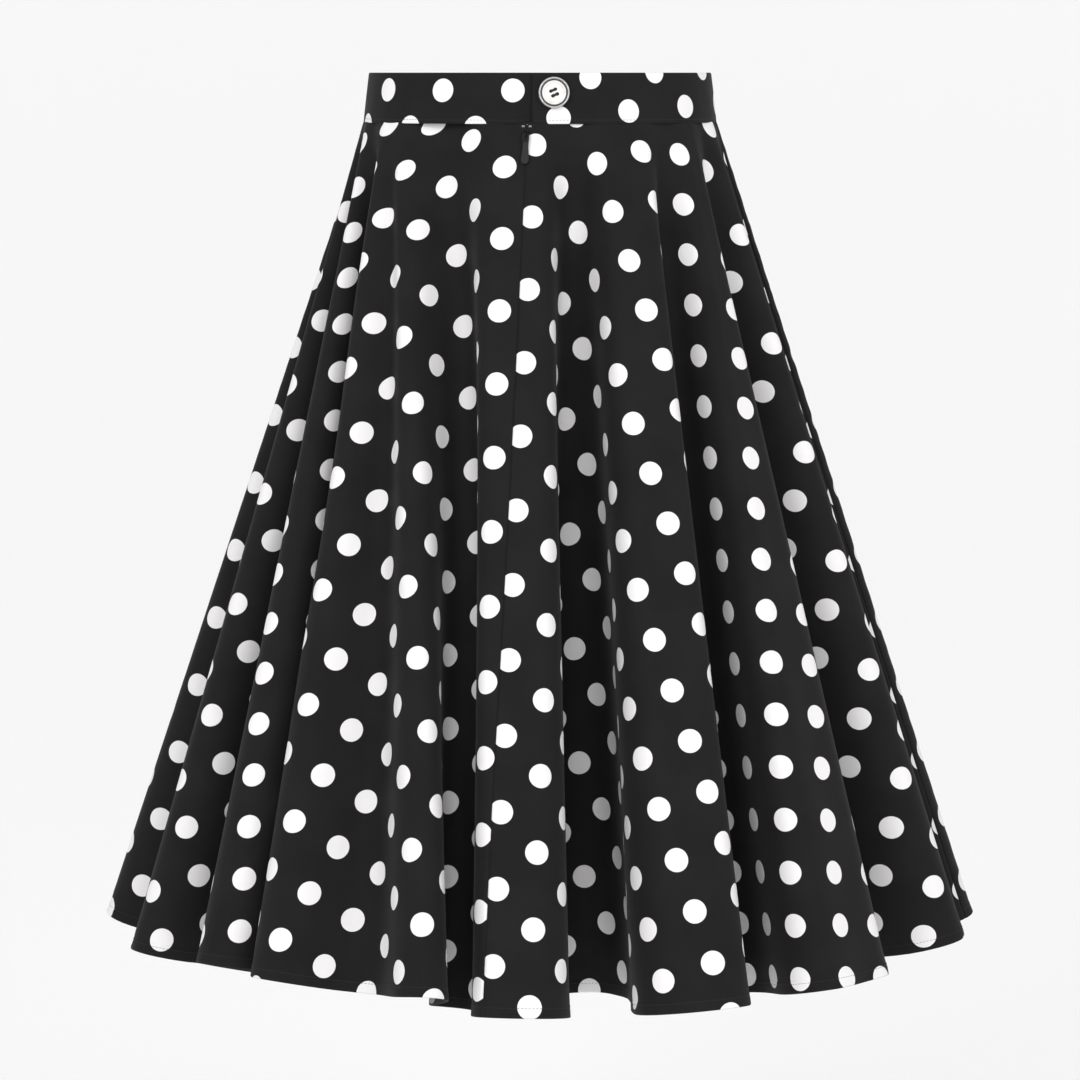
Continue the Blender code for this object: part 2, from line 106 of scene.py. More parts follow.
def hang_cloth():
    """The hanging cloth's outer face on a fine grid of cut angles and drops, and its print."""
    round_again = CRESTS[:3] + np.array([360, 360, 360, 0, 0, 0])
    waist_cut, hem_cut, hem_turn, reach, lean, crisp = np.concatenate([CRESTS, round_again]).T
    drops = np.linspace(0.0, SKIRT_LENGTH, DROP_STEPS + 1)
    share_down = (drops / SKIRT_LENGTH)[:, None]
    waist = waist_turn(CENTRE_BACK_SHIFT + CUT_RADIUS * np.radians(waist_cut))
    hem = np.radians(hem_turn)
    top = ellipse(WAIST_HALF_WIDTH, WAIST_HALF_DEPTH, waist)
    foot = ellipse(HEM_HALF_WIDTH, HEM_HALF_DEPTH, hem) * reach[:, None]
    places = top + share_down[..., None] * (foot - top)
    top_heading = ellipse_heading(WAIST_HALF_WIDTH, WAIST_HALF_DEPTH, waist)
    foot_heading = ellipse_heading(HEM_HALF_WIDTH, HEM_HALF_DEPTH, hem) + np.radians(lean)
    headings = top_heading + share_down * (foot_heading - top_heading)

    chords = places[:, 1:] - places[:, :-1]
    spans = np.linalg.norm(chords, axis=-1)
    turning = (headings[:, 1:] - headings[:, :-1])[..., None]
    middle = (np.arange(FOLD_STEPS) + 0.5) / FOLD_STEPS
    crisp = crisp[:-1, None]
    wave = np.tanh(crisp * np.sin(2 * np.pi * middle)) / np.tanh(crisp)
    base = headings[:, :-1, None] + turning * middle

    def reach_of(direction):
        return np.exp(1j * direction).mean(axis=-1)

    smooth = np.abs(reach_of(base))
    nearness = 1 / (CUT_RADIUS + drops[:, None])
    nearness = (nearness - nearness[-1]) / (nearness[0] - nearness[-1])
    cuts = hem_cut + nearness * (waist_cut - hem_cut)
    cloth = np.radians(np.diff(cuts, axis=1)) * (CUT_RADIUS + drops[:, None])
    eased = (drops**2 / (drops**2 + EASED_DROP**2))[:, None] ** 2
    short_by = eased * np.maximum(spans / smooth - cloth, 0) / (CUT_RADIUS + drops[:, None])
    print_cuts = cuts + np.pad(np.degrees(short_by), ((0, 0), (1, 0)))
    wanted = smooth / (1 + eased * np.maximum(cloth * smooth / spans - 1, 0))
    low = np.zeros_like(wanted)
    high = np.full_like(wanted, MOST_SWING)
    for _ in range(40):
        swing = (low + high) / 2
        short = np.abs(reach_of(base + swing[..., None] * wave)) < wanted
        high = np.where(short, swing, high)
        low = np.where(short, low, swing)
    swing = (low + high) / 2

    bearing = chords[..., 0] + 1j * chords[..., 1]
    drift = np.zeros_like(swing)
    bend = np.sin(np.pi * middle) ** 2
    for _ in range(30):
        direction = base + swing[..., None] * wave + drift[..., None] * bend
        drift += np.angle(bearing / reach_of(direction))
    step = np.exp(1j * (base + swing[..., None] * wave + drift[..., None] * bend))
    step *= (bearing / step.sum(axis=-1))[..., None]

    origins = (places[:, :-1, 0] + 1j * places[:, :-1, 1])[..., None]
    sections = origins + np.cumsum(step, axis=-1) - step
    shares = np.arange(FOLD_STEPS) / FOLD_STEPS
    section_cuts = cuts[:, :-1, None] + np.diff(cuts, axis=1)[..., None] * shares
    angles = np.arange(FIRST_ANGLE, FIRST_ANGLE + 380, ANGLE_STEP)
    plan = np.array([
        np.interp(angles, row_cuts.ravel(), row.real.ravel())
        + 1j * np.interp(angles, row_cuts.ravel(), row.imag.ravel())
        for row_cuts, row in zip(section_cuts, sections)
    ])
    prints = np.array([np.interp(angles, *rows) for rows in zip(cuts, print_cuts)])
    fall = SKIRT_LENGTH / DROP_STEPS
    slide = np.minimum(np.abs(np.diff(plan, axis=0)), 0.95 * fall)
    height = np.zeros(plan.shape)
    height[1:] = -np.cumsum(np.sqrt(fall**2 - slide**2), axis=0)
    return angles, np.stack([plan.real, plan.imag, height, prints], axis=-1)


CLOTH_ANGLES, CLOTH_POINTS = hang_cloth()


def hung(angle_rows, drops, columns=slice(3)):
    """Points of the hanging cloth: for each drop, a row of cut angles in degrees."""
    rows = []
    for angles, drop in zip(angle_rows, drops):
        place = np.clip(drop / SKIRT_LENGTH, 0, 1) * DROP_STEPS
        above = min(int(place), DROP_STEPS - 1)
        upper, lower = CLOTH_POINTS[above], CLOTH_POINTS[above + 1]
        section = upper + (place - above) * (lower - upper)
        rows.append([np.interp(angles, CLOTH_ANGLES, values) for values in section.T[columns]])
    return np.array(rows).transpose(0, 2, 1)


def outward(points):
    """Outward directions of a grid whose rows run towards +X and down."""
    across = np.gradient(points, axis=1)
    down = np.gradient(points, axis=0)
    normals = np.cross(down, across)
    return normals / np.linalg.norm(normals, axis=-1, keepdims=True)


# Creases on the cloth, besides its folds: where one starts, how far it drifts sideways down to
# its foot, and its width and depth. A trough has a negative depth.
CREASE_TOP_WIDTH = 0.7
CREASE_SPREAD = 0.6
CREASE_FADE = 1.3
CREASES = [
    # cut angle, top, foot, drift in degrees, width, depth
    (-78.0, 0.004, 0.090, 5.0, 0.007, -0.0012),
    (-66.0, 0.003, 0.060, 9.0, 0.006, 0.0009),
    (-57.0, 0.010, 0.150, 12.0, 0.009, -0.0016),
    (-41.0, 0.002, 0.055, 4.0, 0.006, -0.0008),
    (-36.0, 0.120, 0.430, 7.0, 0.014, -0.0018),
    (-27.0, 0.030, 0.170, 3.0, 0.010, 0.0010),
    (-22.0, 0.300, 0.620, -1.5, 0.016, 0.0016),
    (-13.0, 0.004, 0.075, 2.0, 0.007, -0.0009),
    (7.0, 0.002, 0.048, 3.5, 0.006, -0.0010),
    (15.0, 0.006, 0.110, 5.0, 0.008, 0.0011),
    (33.0, 0.003, 0.070, 2.0, 0.007, -0.0010),
    (31.0, 0.260, 0.600, 0.8, 0.015, -0.0015),
    (49.0, 0.005, 0.130, -3.0, 0.009, -0.0013),
    (52.0, 0.330, 0.640, -1.0, 0.014, 0.0013),
    (73.0, 0.003, 0.080, -2.0, 0.007, -0.0011),
    (97.0, 0.004, 0.100, 2.5, 0.008, -0.0012),
    (104.0, 0.200, 0.520, 3.0, 0.015, 0.0016),
    (121.0, 0.003, 0.065, 1.0, 0.007, -0.0009),
    (139.0, 0.008, 0.140, 4.0, 0.009, 0.0012),
    (146.0, 0.280, 0.610, 2.0, 0.016, -0.0016),
    (158.0, 0.003, 0.075, -1.5, 0.007, -0.0010),
    (174.0, 0.005, 0.105, 1.0, 0.008, -0.0011),
    (190.0, 0.240, 0.560, 2.5, 0.015, 0.0015),
    (195.0, 0.003, 0.060, 2.0, 0.006, 0.0008),
    (212.0, 0.006, 0.120, 3.0, 0.008, -0.0013),
    (231.0, 0.003, 0.085, 1.0, 0.007, -0.0009),
    (236.0, 0.300, 0.630, 1.5, 0.016, -0.0017),
    (252.0, 0.004, 0.095, -2.0, 0.008, -0.0011),
    (262.0, 0.120, 0.400, -3.0, 0.013, 0.0014),
]
SEAMS = [-90.0, 0.0, 90.0, 270.0]
SEAM_GROOVE = 0.0008
SEAM_GROOVE_WIDTH = 0.0008
PUCKER_LENGTH = 0.021
PUCKER_WIDTH = 0.016
PUCKER_START = 0.02
PUCKER_FLAT = 0.004
ZIP_PUCKER = 0.0006
SEAM_PUCKER = 0.00025
ZIP_FOOT = 0.200
HEM_DEPTH = 0.0085
HEM_RISE = 0.0004
HEM_STITCH_UP = 0.0072
HEM_RIPPLE = 0.0007
RIPPLE_RISE = 0.035
RIPPLE_PITCH = 0.0064
HEM_STEP = 0.0010
HEM_EDGE = 0.0008
HEM_EDGE_ROUND = 0.0006
CLOTH_THICKNESS = 0.0008
HEM_THICKNESS = 0.0016
TUCK_UP = 0.0016
TUCK_IN = 0.0007
TUCK_LENGTH = 0.0012


def crease_height(angles, drops):
    """How far the cloth stands out of its smooth folds, for rows of cut angles."""
    radius = (CUT_RADIUS + drops)[:, None]
    height = np.zeros(angles.shape)
    for angle, top, foot, sideways, width, depth in CREASES:
        share = np.clip((drops - top) / (foot - top), 0, 1)[:, None]
        wide = width * (CREASE_TOP_WIDTH + CREASE_SPREAD * share)
        away = radius * np.radians(angles - angle - sideways * share) / wide
        height += depth * np.exp(-away**2) * np.sin(np.pi * share) ** CREASE_FADE
    for seam in SEAMS:
        away = radius * np.radians(angles - seam)
        height -= SEAM_GROOVE * np.exp(-((away / SEAM_GROOVE_WIDTH) ** 2))
        zipped = (seam == 0.0) * np.clip((ZIP_FOOT + 0.02 - drops) / 0.04, 0, 1)
        depth = SEAM_PUCKER + zipped * (ZIP_PUCKER - SEAM_PUCKER)
        phase = drops / PUCKER_LENGTH + 0.35 * np.sin(drops / 0.037)
        pucker = (depth * np.sin(2 * np.pi * phase))[:, None] * np.clip(away / PUCKER_FLAT, -1, 1) ** 2
        starts = np.clip(drops / PUCKER_START, 0, 1)[:, None]
        height += pucker * np.exp(-((away / PUCKER_WIDTH) ** 2)) * starts
    near_hem = np.clip(1 - (SKIRT_LENGTH - drops) / RIPPLE_RISE, 0, 1)[:, None] ** 2
    along = radius * np.radians(angles)
    ripple = np.sin(along / RIPPLE_PITCH + 2 * np.sin(along / 0.041))
    ripple = ripple * (0.6 + 0.4 * np.sin(along / 0.103))
    return height + HEM_RIPPLE * near_hem * ripple


def hem_height(drops):
    """The turned-up hem stands a little proud, and dips along its row of stitches."""
    up = SKIRT_LENGTH - drops
    step = np.clip((HEM_DEPTH + HEM_STEP - up) / HEM_STEP, 0, 1)
    dip = np.exp(-(((up - HEM_STITCH_UP) / 0.0007) ** 2))
    edge = np.clip(1 - up / HEM_EDGE, 0, 1) ** 2
    return HEM_RISE * (step - 0.7 * dip) - HEM_EDGE_ROUND * edge


BEND_LENGTH = 0.045
PANEL_COLUMNS = 164
SEAM_COLUMNS = np.array([0.0, 0.0005, 0.0010, 0.0017, 0.0030, 0.0060])
HEM_ROWS = np.array([
    0.0130, 0.0100, 0.0095, 0.0088, 0.0080, 0.0072, 0.0064, 0.0050, 0.0030, 0.0015, 0.0007, 0.0,
])
ZIP_OPENING = ([0.0, 0.0030, 0.0055, 0.0140, 0.0170], [0.0004, 0.0005, 0.0017, 0.0017, 0.0])


def spread_angles(start, end, drop, columns):
    """Cut angles of a row, even along the cloth but closer together in its bends."""
    angles = np.arange(start, end, 0.2)
    path = hung([angles], [drop])[0, :, :2]
    steps = np.diff(path, axis=0)
    heading = np.unwrap(np.arctan2(steps[:, 1], steps[:, 0]))
    lengths = np.linalg.norm(steps, axis=1)
    measure = np.concatenate([[0.0], np.cumsum(lengths + BEND_LENGTH * np.abs(np.gradient(heading)))])
    return np.interp(np.linspace(0, measure[-1], columns + 1), measure, angles)


def zip_gap(drop):
    """Half the opening of the centre back seam, widest round the slider."""
    return np.interp(drop, *ZIP_OPENING)


def shell_mesh(name, outer, inner, flat):
    """A closed cloth wall from its outer and inner points, with flat places as its UV map."""
    rows, columns = outer.shape[:2]
    corners = np.arange(rows * columns).reshape(rows, columns)
    inside = corners + rows * columns

    def quads(near, far):
        return np.stack([near[:-1], near[1:], far[1:], far[:-1]], axis=-1).reshape(-1, 4)

    def sheet(grid):
        corner_sets = [grid[:-1, :-1], grid[1:, :-1], grid[1:, 1:], grid[:-1, 1:]]
        return np.stack(corner_sets, axis=-1).reshape(-1, 4)

    outer_faces = sheet(corners)
    inner_faces = sheet(inside)[:, ::-1]
    rims = np.concatenate([
        quads(inside[:, 0], corners[:, 0]), quads(corners[:, -1], inside[:, -1]),
        quads(corners[0], inside[0]), quads(inside[-1], corners[-1]),
    ])
    faces = np.concatenate([outer_faces, inner_faces, rims])
    mesh = bpy.data.meshes.new(name)
    points = np.concatenate([outer.reshape(-1, 3), inner.reshape(-1, 3)])
    mesh.from_pydata(points.tolist(), [], faces.tolist())
    which = np.zeros(len(faces), dtype=np.int32)
    which[len(outer_faces):len(outer_faces) + len(inner_faces)] = 1
    mesh.polygons.foreach_set("material_index", which)
    corner_points = np.empty(len(mesh.loops), dtype=np.int64)
    mesh.loops.foreach_get("vertex_index", corner_points)
    places = np.concatenate([flat.reshape(-1, 2)] * 2)
    layer = mesh.uv_layers.new(name="flat_cloth")
    layer.data.foreach_set("uv", places[corner_points].astype(np.float32).ravel())
    mesh.shade_smooth()
    return mesh


def node_math(tree, operation, first, second=None):
    """A Math node's result."""
    node = tree.nodes.new("ShaderNodeMath")
    node.operation = operation
    for socket, value in zip(node.inputs, (first, second)):
        if isinstance(value, (int, float)):
            socket.default_value = value
        elif value is not None:
            tree.links.new(value, socket)
    return node.outputs[0]


def new_finish(name, roughness, specular):
    """A material with its node tree and its shader."""
    material = bpy.data.materials.new(name)
    material.use_nodes = True
    shader = material.node_tree.nodes["Principled BSDF"]
    shader.inputs["Roughness"].default_value = roughness
    shader.inputs["Specular IOR Level"].default_value = specular
    return material, material.node_tree, shader


def noise(tree, scale, detail, place=None):
    """A noise texture's grey value, over the object or over the flat cloth."""
    node = tree.nodes.new("ShaderNodeTexNoise")
    node.inputs["Scale"].default_value = scale
    node.inputs["Detail"].default_value = detail
    if place is None:
        place = tree.nodes.new("ShaderNodeTexCoord").outputs["Object"]
    tree.links.new(place, node.inputs["Vector"])
    return node.outputs["Fac"]


def ramp(tree, value, low, high, smooth=False):
    """The value mapped from its range to 0 and 1."""
    node = tree.nodes.new("ShaderNodeMapRange")
    node.inputs["From Min"].default_value = low
    node.inputs["From Max"].default_value = high
    if smooth:
        node.interpolation_type = "SMOOTHSTEP"
    tree.links.new(value, node.inputs["Value"])
    return node.outputs["Result"]


def blend_colours(tree, share, first, second):
    """A colour between two, which are colours or outputs."""
    node = tree.nodes.new("ShaderNodeMix")
    node.data_type = "RGBA"
    tree.links.new(share, node.inputs["Factor"])
    for socket, value in ((node.inputs["A"], first), (node.inputs["B"], second)):
        if isinstance(value, tuple):
            socket.default_value = (*value, 1.0)
        else:
            tree.links.new(value, socket)
    return node.outputs["Result"]


def raise_surface(tree, shader, height, distance, strength):
    """Bump on the shader's normal."""
    bump = tree.nodes.new("ShaderNodeBump")
    bump.inputs["Distance"].default_value = distance
    bump.inputs["Strength"].default_value = strength
    tree.links.new(height, bump.inputs["Height"])
    tree.links.new(bump.outputs["Normal"], shader.inputs["Normal"])


DOT_RADIUS = 0.0087
DOT_STEP = 0.02754  # between columns of dots; every other column is half a repeat lower
THREAD_PITCH = 0.00034
PRINT_EDGE = 0.00016
PRINT_WANDER = 0.00022


def dotted_poplin(name, black, dot, deep_dot):
    """Printed poplin: white dots on black, over a plain weave along the cut's own grain."""
    material, tree, shader = new_finish(name, 0.82, 0.14)
    shader.inputs["Sheen Weight"].default_value = 0.04
    shader.inputs["Sheen Roughness"].default_value = 0.45
    flat = tree.nodes.new("ShaderNodeUVMap")
    flat.uv_map = "flat_cloth"
    axes = tree.nodes.new("ShaderNodeSeparateXYZ")
    tree.links.new(flat.outputs["UV"], axes.inputs[0])
    x = node_math(tree, "DIVIDE", axes.outputs["X"], DOT_STEP)
    y = node_math(tree, "DIVIDE", axes.outputs["Y"], DOT_STEP)
    first = node_math(tree, "MULTIPLY", node_math(tree, "ADD", x, y), 0.5)
    second = node_math(tree, "MULTIPLY", node_math(tree, "SUBTRACT", x, y), 0.5)
    first = node_math(tree, "SUBTRACT", first, node_math(tree, "ROUND", first))
    second = node_math(tree, "SUBTRACT", second, node_math(tree, "ROUND", second))
    square = node_math(
        tree, "ADD",
        node_math(tree, "POWER", node_math(tree, "ABSOLUTE", first), 2.0),
        node_math(tree, "POWER", node_math(tree, "ABSOLUTE", second), 2.0),
    )
    away = node_math(tree, "SQRT", node_math(tree, "MULTIPLY", square, 2 * DOT_STEP**2))
    wander = node_math(tree, "SUBTRACT", noise(tree, 700, 2, flat.outputs["UV"]), 0.5)
    away = node_math(tree, "ADD", away, node_math(tree, "MULTIPLY", wander, PRINT_WANDER))
    printed = ramp(tree, away, DOT_RADIUS + PRINT_EDGE, DOT_RADIUS - PRINT_EDGE, smooth=True)

    fibre = noise(tree, 1500, 3, flat.outputs["UV"])
    worn = noise(tree, 22, 4, flat.outputs["UV"])
    lighter = tuple(1.5 * value for value in black)
    dark = blend_colours(tree, ramp(tree, worn, 0.35, 0.75), black, lighter)
    white = blend_colours(tree, ramp(tree, fibre, 0.3, 0.7), deep_dot, dot)
    tree.links.new(blend_colours(tree, printed, dark, white), shader.inputs["Base Color"])
    rough = node_math(tree, "ADD", node_math(tree, "MULTIPLY", fibre, 0.16), 0.74)
    tree.links.new(rough, shader.inputs["Roughness"])

    turn = 2 * np.pi / THREAD_PITCH
    warp = node_math(tree, "SINE", node_math(tree, "MULTIPLY", axes.outputs["X"], turn))
    weft = node_math(tree, "SINE", node_math(tree, "MULTIPLY", axes.outputs["Y"], turn))
    weave = node_math(tree, "MULTIPLY", warp, weft)
    weave = node_math(tree, "ADD", weave, node_math(tree, "MULTIPLY", fibre, 1.2))
    raise_surface(tree, shader, weave, 0.00005, 0.35)
    return material


# Each side's ground, its dots and the deeper tone between their fibres.
FACE_COLOURS = [(0.0062, 0.0060, 0.0064), (0.69, 0.678, 0.685), (0.64, 0.625, 0.634)]
REVERSE_COLOURS = [(0.016, 0.0155, 0.016), (0.36, 0.35, 0.35), (0.30, 0.29, 0.29)]
skirt_print = dotted_poplin("dotted_poplin", *FACE_COLOURS)
skirt_reverse = dotted_poplin("dotted_poplin_reverse", *REVERSE_COLOURS)

# Each panel is cut from the cloth at its own place in the dots' repeat.
PANELS = [
    # piece, node, first and last cut angle, a dot's centre on the flat cut, how far off grain
    ("back_left_quarter", "skirt_back_left", -90.0, 0.0, -0.2314, -0.4272, -0.0144),
    ("back_right_quarter", "skirt_back_right", 0.0, 90.0, 0.2272, -0.4076, 0.0010),
    ("front_half_circle", "skirt_front", 90.0, 270.0, 0.0030, 0.1520, 0.0),
]
PANEL_DROPS = np.concatenate([
    [0.0, 0.0008, 0.0020, 0.0040, 0.0065],
    np.linspace(0.010, SKIRT_LENGTH - 0.018, 104),
    SKIRT_LENGTH - HEM_ROWS,
])


rows_of_stitches = {"hem_stitching": []}


def skirt_panel(name, start, end, dot_x, dot_y, off_grain):
    """One panel as a thin closed wall, tucked up into the waistband at its top."""
    columns = int(round(PANEL_COLUMNS * (end - start) / 90))
    rows = []
    for drop in PANEL_DROPS:
        radius = CUT_RADIUS + drop
        first = SEAM_COLUMNS + (zip_gap(drop) if start == 0 else 0)
        last = SEAM_COLUMNS + (zip_gap(drop) if end == 0 else 0)
        first = start + np.degrees(first / radius)
        last = end - np.degrees(last[::-1] / radius)
        inner = spread_angles(first[-1], last[0], drop, columns)[1:-1]
        rows.append(np.concatenate([first, inner, last]))
    angles = np.array(rows)
    points = hung(rows, PANEL_DROPS)
    raised = crease_height(angles, PANEL_DROPS) + hem_height(PANEL_DROPS)[:, None]
    points = points + outward(points) * raised[..., None]
    normals = outward(points)
    up = SKIRT_LENGTH - PANEL_DROPS
    doubled = np.clip((HEM_DEPTH + HEM_STEP - up) / HEM_STEP, 0, 1)
    walls = CLOTH_THICKNESS + (HEM_THICKNESS - CLOTH_THICKNESS) * doubled
    walls -= HEM_EDGE_ROUND * np.clip(1 - up / HEM_EDGE, 0, 1) ** 2
    inner = points - normals * walls[:, None, None]
    for face in (points, inner):
        inwards = -normals[0] * np.array([1, 1, 0])
        tuck = np.exp(-((PANEL_DROPS / TUCK_LENGTH) ** 2))[:, None, None]
        face += tuck * (TUCK_IN * inwards + np.array([0, 0, TUCK_UP]))[None]
    hem_row = int(np.argmin(np.abs(up - HEM_STITCH_UP)))
    rows_of_stitches["hem_stitching"].append((points[hem_row], normals[hem_row]))
    radius = (CUT_RADIUS + PANEL_DROPS)[:, None]
    turn = np.radians(hung(rows, PANEL_DROPS, slice(3, 4))[..., 0])
    grain = radius * np.sin(turn) - dot_x - 1j * (radius * np.cos(turn) + dot_y)
    grain = np.exp(1j * off_grain) * grain
    flat = np.stack([grain.real, grain.imag], axis=-1)
    return shell_mesh(name, points, inner, flat)


for name, node, start, end, *cut in PANELS:
    panel = bpy.data.objects.new(name, skirt_panel(name, start, end, *cut))
    bpy.context.scene.collection.objects.link(panel)
    panel.data.materials.append(skirt_print)
    panel.data.materials.append(skirt_reverse)
    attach(panel, "garment")
    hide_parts(node)


# The concealed zip closes the top of the centre back seam: two woven tapes sewn to the seam's
# two sides on the inside, each with a nylon coil, locked at the top by two thread tacks. From
# outside only its slider shows, in the open top of the seam.
ZIP_TOP = 0.0155
ZIP_END = 0.210
TAPE_WIDTH = 0.0085
TAPE_OPENING = ([0.0045, 0.0055, 0.0140, 0.0150], [0.0, 0.0009, 0.0009, 0.0])
TAPE_DEPTH = 0.0013
TAPE_WALL = 0.0005
COIL_RADIUS = 0.0007
COIL_WIRE = 0.00016
COIL_PITCH = 0.00085
COIL_SIDES = 5
COIL_STEPS = 10


def cloth_frame(angle, drop):
    """Matrix at a place on the cloth: X along the waist, Z up the cloth and -Y outwards."""
    step = 0.002
    sideways = np.degrees(step / (CUT_RADIUS + drop))
    left, here, right = hung([[angle - sideways, angle, angle + sideways]], [drop])[0]
    above = hung([[angle]], [max(drop - step, 0)])[0, 0]
    below = hung([[angle]], [drop + step])[0, 0]
    across = Vector(right - left).normalized()
    inwards = Vector(above - below).cross(across).normalized()
    axes = Matrix((across, inwards, across.cross(inwards))).transposed().to_4x4()
    return Matrix.Translation(here) @ axes


def tube(points, wire, sides, closed=False):
    """Points and faces of a round wire along a line of points."""
    points = np.array(points)
    if closed:
        ahead = np.roll(points, -1, axis=0) - np.roll(points, 1, axis=0)
    else:
        ahead = np.gradient(points, axis=0)
    ahead /= np.linalg.norm(ahead, axis=1, keepdims=True)
    steady = np.eye(3)[np.argmin(np.abs(ahead).max(axis=0))]
    side = np.cross(ahead, steady)
    side /= np.linalg.norm(side, axis=1, keepdims=True)
    over = np.cross(ahead, side)
    turns = 2 * np.pi * np.arange(sides) / sides
    rings = [point + wire * (np.cos(turns)[:, None] * a + np.sin(turns)[:, None] * b)
             for point, a, b in zip(points, side, over)]
    count = len(points)
    faces = []
    for ring in range(count if closed else count - 1):
        here, after = ring * sides, (ring + 1) % count * sides
        for step in range(sides):
            next_step = (step + 1) % sides
            faces.append((here + step, here + next_step, after + next_step, after + step))
    if not closed:
        faces += [tuple(range(sides))[::-1], tuple((count - 1) * sides + step for step in range(sides))]
    return np.concatenate(rings), faces


def join_pieces(pieces):
    """One list of points and one of faces from several."""
    points, faces, start = [], [], 0
    for piece_points, piece_faces in pieces:
        points.append(np.array(piece_points))
        faces += [tuple(start + corner for corner in face) for face in piece_faces]
        start += len(piece_points)
    return np.concatenate(points), faces


def piece_of(name, points, faces, finish, body, slot, node=None, smooth=True):
    """A named piece of the object, riding on its body, in its finish."""
    mesh = bpy.data.meshes.new(name)
    mesh.from_pydata(np.array(points).tolist(), [], faces)
    if smooth:
        mesh.shade_smooth()
    mesh.materials.append(finish)
    piece = bpy.data.objects.new(name, mesh)
    bpy.context.scene.collection.objects.link(piece)
    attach(piece, body)
    if node:
        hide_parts(node)
    return piece


def speckled(name, roughness, specular, scale, detail, dark, light):
    """A finish whose colour wavers a little, as in thread and moulded nylon."""
    material, tree, shader = new_finish(name, roughness, specular)
    colour = blend_colours(tree, noise(tree, scale, detail), dark, light)
    tree.links.new(colour, shader.inputs["Base Color"])
    return material


tape_cloth, tree, shader = new_finish("zip_tape_weave", 0.7, 0.3)
rib = tree.nodes.new("ShaderNodeTexWave")
rib.bands_direction = "Z"
rib.inputs["Scale"].default_value = 320
rib.inputs["Distortion"].default_value = 0.6
place = tree.nodes.new("ShaderNodeTexCoord")
tree.links.new(place.outputs["Object"], rib.inputs["Vector"])
tree.links.new(
    blend_colours(tree, rib.outputs["Fac"], (0.006, 0.006, 0.0065), (0.014, 0.014, 0.015)),
    shader.inputs["Base Color"],
)
raise_surface(tree, shader, rib.outputs["Fac"], 0.0001, 0.5)

coil_nylon = speckled(
    "zip_coil_nylon", 0.35, 0.5, 900, 2, (0.008, 0.008, 0.009), (0.018, 0.018, 0.019)
)

tapes = []
tape_drops = np.concatenate([np.linspace(0.0, 0.0190, 20), np.linspace(0.023, ZIP_END, 50)])
for side in (-1, 1):
    outer, inner = [], []
    for drop in tape_drops:
        near = np.interp(drop, *TAPE_OPENING)
        for arc in np.linspace(near, TAPE_WIDTH, 7):
            frame_here = cloth_frame(np.degrees(side * arc / (CUT_RADIUS + drop)), drop)
            outer.append(frame_here @ Vector((0, TAPE_DEPTH, 0)))
            inner.append(frame_here @ Vector((0, TAPE_DEPTH + TAPE_WALL, 0)))
    rows, columns = len(tape_drops), 7
    corners = np.arange(rows * columns).reshape(rows, columns)
    behind = corners + rows * columns
    quads = [
        (corners[:-1, :-1], corners[1:, :-1], corners[1:, 1:], corners[:-1, 1:]),
        (behind[:-1, :-1], behind[:-1, 1:], behind[1:, 1:], behind[1:, :-1]),
        (behind[:-1, 0], behind[1:, 0], corners[1:, 0], corners[:-1, 0]),
        (corners[:-1, -1], corners[1:, -1], behind[1:, -1], behind[:-1, -1]),
        (behind[0, :-1], corners[0, :-1], corners[0, 1:], behind[0, 1:]),
        (corners[-1, :-1], behind[-1, :-1], behind[-1, 1:], corners[-1, 1:]),
    ]
    faces = [tuple(face) for quad in quads for face in np.stack(quad, axis=-1).reshape(-1, 4).tolist()]
    tapes.append((outer + inner, faces))
piece_of("zip_tapes", *join_pieces(tapes), tape_cloth, "garment", "zip_tape", "zip")

coil_drops = np.arange(ZIP_TOP + 0.002, ZIP_END - 0.004, COIL_PITCH / COIL_STEPS)
coil = []
for step, drop in enumerate(coil_drops):
    turn = 2 * np.pi * step / COIL_STEPS
    frame_here = cloth_frame(0.0, drop)
    out = TAPE_DEPTH + TAPE_WALL + COIL_RADIUS + COIL_RADIUS * np.sin(turn)
    coil.append(frame_here @ Vector((1.8 * COIL_RADIUS * np.cos(turn), out, 0)))
piece_of("zip_coil", *tube(coil, COIL_WIRE, COIL_SIDES), coil_nylon, "garment", "zip_tape")


# The slider is die-cast, painted black: a body behind the seam, a bridge through its opening,
# and on the bridge a ring that holds the pull. The pull is a flat stamped drop with a window.
SLIDER_DROP = 0.0095
SLIDER_HALF_HEIGHT = 0.0055
SLIDER_HALF_WIDTH = 0.0036
SLIDER_DEPTH = 0.0030
SLIDER_BACK = 0.0021
WEB_HALF_WIDTH = 0.0008
WEB_HALF_HEIGHT = 0.0042
PLATE_HALF_WIDTH = 0.0015
PLATE_FACES = (-0.0016, -0.0006)
RING_RADIUS = 0.0026
RING_WIRE = 0.0006
RING_CENTRE = (-0.0022, 0.0010)
PULL_PIVOT = (-0.0029, 0.0010)
PULL_WALL = 0.0012
PULL_TILT = 4.6
PULL_BEVEL = 0.0005
PULL_OUTLINE = [
    (-0.0007, 0.0018), (0.0002, 0.0025), (0.0038, 0.0026), (0.0084, 0.0022), (0.0132, 0.0025),
    (0.0174, 0.0031), (0.0200, 0.0031), (0.0217, 0.0022), (0.0226, 0.0008),
]
PULL_WINDOW = (0.0006, 0.0058, 0.0015)


